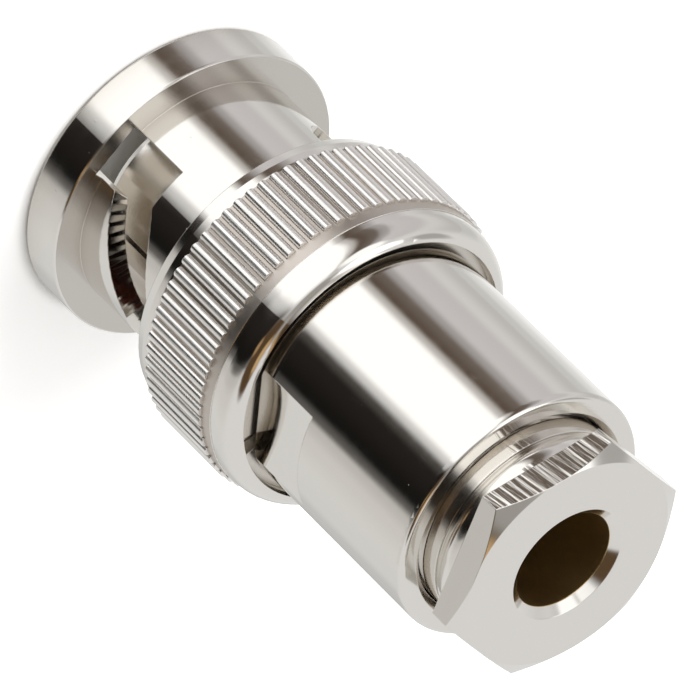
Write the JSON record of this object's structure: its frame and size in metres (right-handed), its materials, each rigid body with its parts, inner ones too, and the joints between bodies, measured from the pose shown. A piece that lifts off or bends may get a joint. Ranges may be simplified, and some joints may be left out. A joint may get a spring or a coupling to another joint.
{
  "type": "bayonet coaxial plug",
  "caption": "Nickel-plated bayonet coaxial plug: knurled coupling nut with helical slots on a round body, closed by a hex clamp nut with a cable hole.",
  "frame": {"origin": "on the plug's axis, in the plane of the coupling nut's front rim, which meets the socket", "axes": "+Z along the axis, from the mating end to the cable end; +X square to the wrench flats"},
  "size_m": [0.0152, 0.0152, 0.0294],
  "materials": {
    "nickel_nut": "nickel plated, polished turned surface with a fine knurl",
    "nickel_body": "nickel plated, polished turned surface",
    "nickel_clamp_nut": "nickel plated over tool marks",
    "nickel_contact": "nickel plated, bright",
    "nickel_ring": "nickel plated, pressed",
    "spring_steel": "plain spring strip",
    "silicone": "matte soft ring",
    "rubber": "matte rubber",
    "insulator": "turned white fluoropolymer",
    "gold": "gold plated, polished",
    "plain_brass": "turned brass"
  },
  "bodies": {
    "plug": {"body": "nickel_body", "outer_contact": "nickel_contact", "front_gasket": "silicone", "front_insulator": "insulator", "centre_pin": "gold", "rear_insulator": "insulator", "braid_clamp": "plain_brass", "cable_gasket": "rubber", "wave_washer_front": "spring_steel", "wave_washer_rear": "spring_steel"},
    "spring_seat": {"thrust_washer": "nickel_ring"},
    "nut_group": {"coupling_nut": "nickel_nut", "snap_ring": "nickel_ring"},
    "clamp_follower": {"slip_washer": "plain_brass"},
    "clamp_group": {"clamp_nut": "nickel_clamp_nut"}
  },
  "joints": [
    {"name": "nut_travel", "type": "slide", "parent": "plug", "child": "spring_seat", "axis": [0, 0, -1], "range_m": [0, 0.0007], "stiffness_N_per_m": 2000, "springref_m": -0.0003, "deforming": ["wave_washer_front", "wave_washer_rear"]},
    {"name": "nut_turn", "type": "hinge", "parent": "spring_seat", "child": "nut_group", "pos_m": [0, 0, 0.0077], "axis": [0, 0, 1], "continuous": true},
    {"name": "clamp_travel", "type": "slide", "parent": "plug", "child": "clamp_follower", "axis": [0, 0, -1], "range_m": [0, 0.001], "deforming": ["cable_gasket"]},
    {"name": "clamp_turn", "type": "hinge", "parent": "clamp_follower", "child": "clamp_group", "pos_m": [0, 0, 0.0265], "axis": [0, 0, -1], "range_deg": [0, 478]}
  ],
  "couplings": [
    {"joint": "clamp_turn", "follows": "clamp_travel", "rad_per_m": 8377.6}
  ]
}
